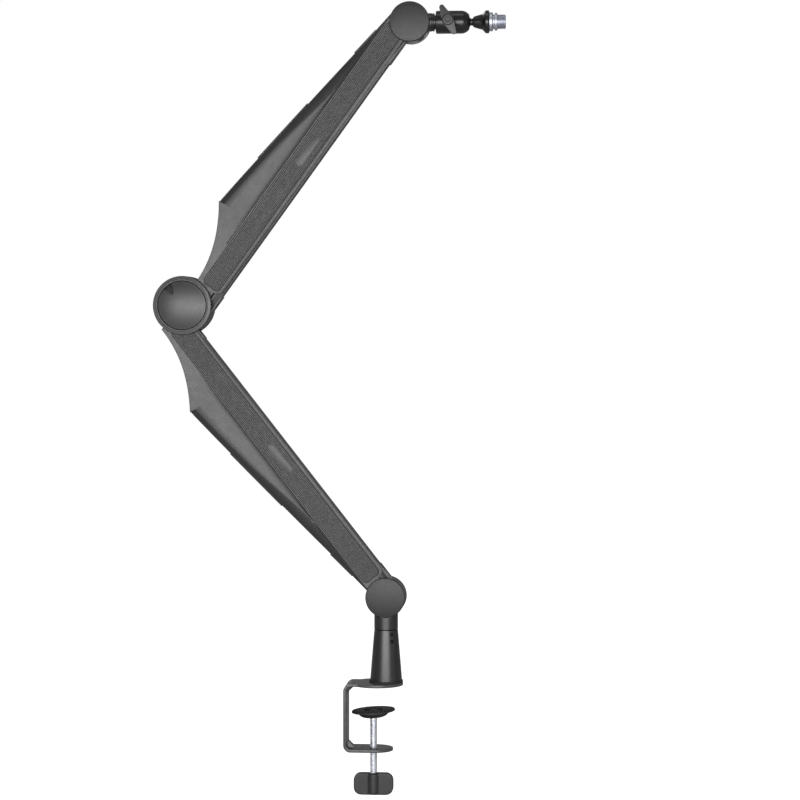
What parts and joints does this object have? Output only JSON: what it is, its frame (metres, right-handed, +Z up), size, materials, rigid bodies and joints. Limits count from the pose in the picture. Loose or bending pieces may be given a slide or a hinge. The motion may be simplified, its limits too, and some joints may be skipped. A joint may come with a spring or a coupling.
{
  "type": "microphone boom arm",
  "caption": "Desk-clamped, spring-balanced boom arm of two parallelogram links with an elbow tension knob and a small ball head that ends in a 5/8 inch microphone thread.",
  "frame": {"origin": "under the middle of the desk socket, on the upper plate's face that rests on the desk", "axes": "+Z up, +X the way the microphone thread points, -Y the side with the tension knob"},
  "size_m": [0.3885, 0.057, 0.8742],
  "materials": {
    "clamp_steel": "satin black powder coat",
    "gloss_black": "gloss black anodised",
    "frame_metal": "matte black",
    "zinc": "bright zinc plate",
    "black_rubber": "matte",
    "bush_plastic": "natural",
    "knob_plastic": "fine matte texture",
    "cap_plastic": "satin charcoal",
    "beam_metal": "matte dark grey coat",
    "panel_plastic": "fine ribs",
    "plate_plastic": "smooth satin, blank",
    "fin_plastic": "satin dark grey",
    "link_metal": "matte dark grey",
    "spring_steel": "bare spring steel",
    "ball_metal": "gloss black"
  },
  "bodies": {
    "clamp": {"clamp_bracket": "clamp_steel", "socket_lip": "black_rubber", "desk_socket": "gloss_black", "socket_bush": "bush_plastic", "socket_bolt": "zinc", "grub_screws": "zinc"},
    "clamp_pad": {"pad_plate": "ball_metal", "pad_facing": "black_rubber", "pad_retainer": "zinc"},
    "clamp_screw": {"clamp_screw": "zinc", "clamp_knob": "knob_plastic"},
    "base_swivel": {"swivel_spigot": "zinc", "base_collar": "gloss_black", "base_frame": "frame_metal", "base_pins": "zinc", "base_front_cap": "cap_plastic", "base_back_cap": "cap_plastic", "base_screws": "zinc"},
    "lower_arm": {"lower_beam": "beam_metal", "lower_side_panels": "panel_plastic", "lower_name_plates": "plate_plastic", "lower_fin": "fin_plastic", "lower_ridge_strips": "frame_metal", "lower_springs": "spring_steel", "lower_spring_pins": "zinc"},
    "lower_link": {"lower_link": "link_metal"},
    "elbow": {"elbow_frame": "frame_metal", "elbow_pins": "zinc", "elbow_bezel": "cap_plastic", "elbow_back_cap": "cap_plastic", "elbow_screws": "zinc"},
    "tension_knob": {"tension_knob": "cap_plastic", "tension_bolt": "zinc"},
    "upper_arm": {"upper_beam": "beam_metal", "upper_side_panels": "panel_plastic", "upper_name_plates": "plate_plastic", "upper_fin": "fin_plastic", "upper_ridge_strips": "frame_metal", "upper_springs": "spring_steel", "upper_spring_pins": "zinc"},
    "upper_link": {"upper_link": "link_metal"},
    "head": {"head_frame": "frame_metal", "head_pins": "zinc", "head_front_cap": "cap_plastic", "head_back_cap": "cap_plastic", "head_screws": "zinc", "neck_collar": "gloss_black", "ball_barrel": "ball_metal"},
    "wing_screw": {"wing_screw": "ball_metal"},
    "ball_liner": {"ball_liner": "bush_plastic"},
    "ball_stem": {"ball_stem": "ball_metal", "mic_adapter": "zinc"},
    "lock_ring": {"lock_ring": "zinc"}
  },
  "joints": [
    {"name": "pad_slide", "type": "slide", "parent": "clamp", "child": "clamp_pad", "axis": [0, 0, 1], "range_m": [-0.03, 0.0235]},
    {"name": "screw_turn", "type": "hinge", "parent": "clamp_pad", "child": "clamp_screw", "pos_m": [-0.014, 0, -0.09], "axis": [0, 0, 1], "range_deg": [-8700, 6820]},
    {"name": "base_swivel", "type": "hinge", "parent": "clamp", "child": "base_swivel", "pos_m": [0, 0, 0.0618], "axis": [0, 0, 1], "continuous": true},
    {"name": "lower_arm_tilt", "type": "hinge", "parent": "base_swivel", "child": "lower_arm", "pos_m": [-0.0065, 0, 0.107], "axis": [0, -1, 0], "range_deg": [-83, 7]},
    {"name": "lower_link_tilt", "type": "hinge", "parent": "base_swivel", "child": "lower_link", "pos_m": [0.0095, 0, 0.107], "axis": [0, -1, 0], "range_deg": [-83, 7]},
    {"name": "elbow_level", "type": "hinge", "parent": "lower_arm", "child": "elbow", "pos_m": [-0.24014, 0, 0.40605], "axis": [0, -1, 0], "range_deg": [-7, 83]},
    {"name": "tension_knob_turn", "type": "hinge", "parent": "elbow", "child": "tension_knob", "pos_m": [-0.22464, 0, 0.42005], "axis": [0, -1, 0], "range_deg": [-180, 180]},
    {"name": "upper_arm_tilt", "type": "hinge", "parent": "elbow", "child": "upper_arm", "pos_m": [-0.20364, 0, 0.43005], "axis": [0, -1, 0], "range_deg": [-106, 5]},
    {"name": "upper_link_tilt", "type": "hinge", "parent": "elbow", "child": "upper_link", "pos_m": [-0.20364, 0, 0.40605], "axis": [0, -1, 0], "range_deg": [-106, 5]},
    {"name": "head_level", "type": "hinge", "parent": "upper_arm", "child": "head", "pos_m": [0.01942, 0, 0.73707], "axis": [0, -1, 0], "range_deg": [-5, 106]},
    {"name": "wing_screw_turn", "type": "hinge", "parent": "head", "child": "wing_screw", "pos_m": [0.06922, 0, 0.73017], "axis": [0, -1, 0], "range_deg": [-180, 180]},
    {"name": "ball_turn", "type": "hinge", "parent": "head", "child": "ball_liner", "pos_m": [0.08482, 0, 0.73017], "axis": [1, 0, 0], "continuous": true},
    {"name": "ball_tilt", "type": "hinge", "parent": "ball_liner", "child": "ball_stem", "pos_m": [0.08482, 0, 0.73017], "axis": [0, -1, 0], "range_deg": [-25, 25]},
    {"name": "lock_ring_turn", "type": "hinge", "parent": "ball_stem", "child": "lock_ring", "pos_m": [0.11342, 0, 0.73017], "axis": [1, 0, 0], "range_deg": [-180, 180]}
  ],
  "couplings": [
    {"joint": "screw_turn", "follows": "pad_slide", "rad_per_m": 5026.5},
    {"joint": "lower_link_tilt", "follows": "lower_arm_tilt", "ratio": 1},
    {"joint": "elbow_level", "follows": "lower_arm_tilt", "ratio": -1},
    {"joint": "upper_link_tilt", "follows": "upper_arm_tilt", "ratio": 1},
    {"joint": "head_level", "follows": "upper_arm_tilt", "ratio": -1}
  ]
}
